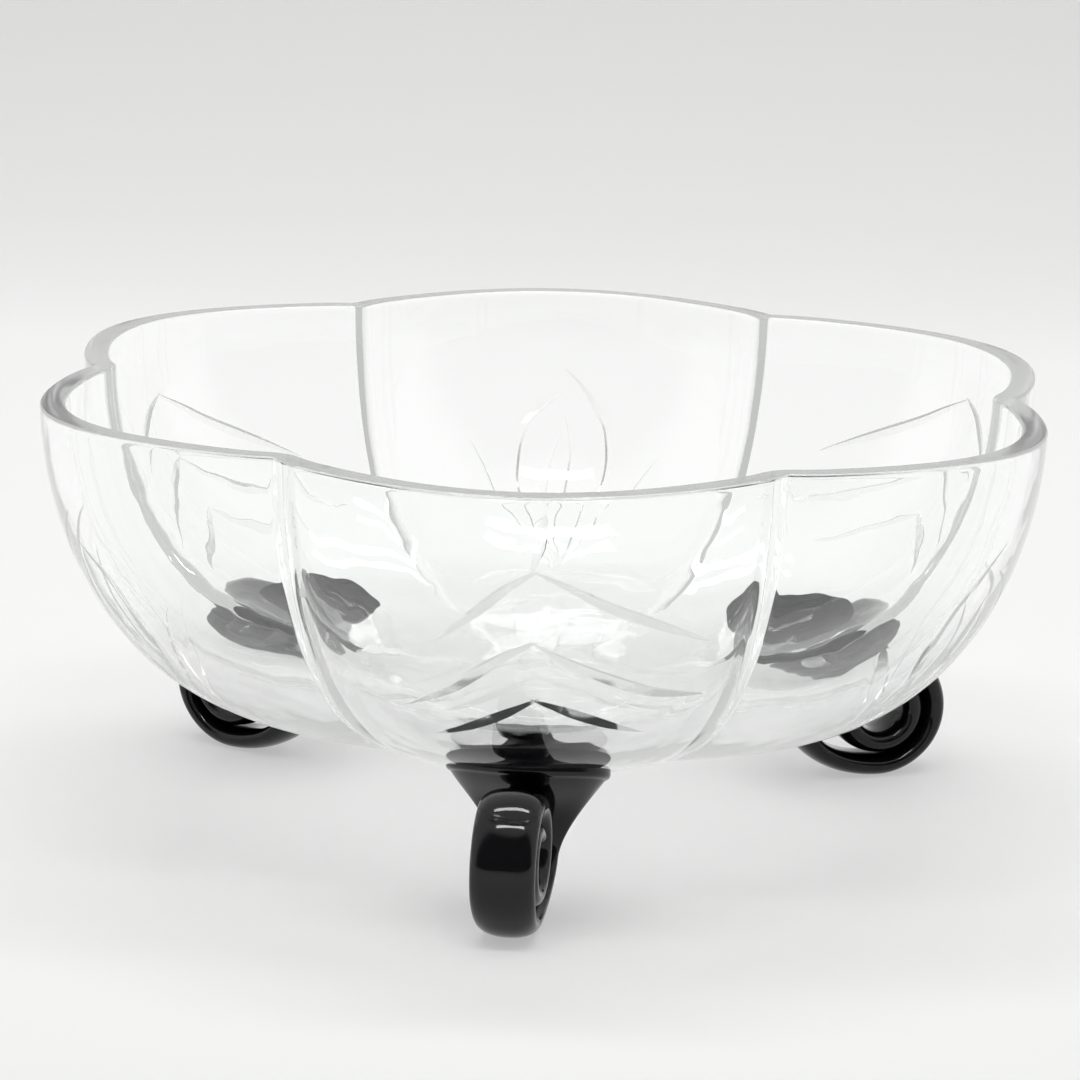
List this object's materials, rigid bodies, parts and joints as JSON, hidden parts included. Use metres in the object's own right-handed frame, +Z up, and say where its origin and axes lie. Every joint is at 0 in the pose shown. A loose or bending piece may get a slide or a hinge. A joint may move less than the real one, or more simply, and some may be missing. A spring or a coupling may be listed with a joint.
{
  "type": "footed bowl",
  "caption": "Lobed clear glass bowl with a flat polished rim, resting on scrolled feet of black glass with seats shaped to its underside.",
  "frame": {"origin": "on the table under the middle of the bowl", "axes": "+Z up out of the bowl's mouth, -Y towards the front lobe and front foot, +X to the right seen from the front"},
  "size_m": [0.2133, 0.23, 0.0979],
  "materials": {
    "clear_glass": "clear, polished, with a flat ground and polished rim",
    "black_glass": "opaque black, fire-polished gloss"
  },
  "bodies": {
    "root": {"bowl": "clear_glass", "foot_front": "black_glass", "foot_rear_right": "black_glass", "foot_rear_left": "black_glass"}
  },
  "joints": []
}
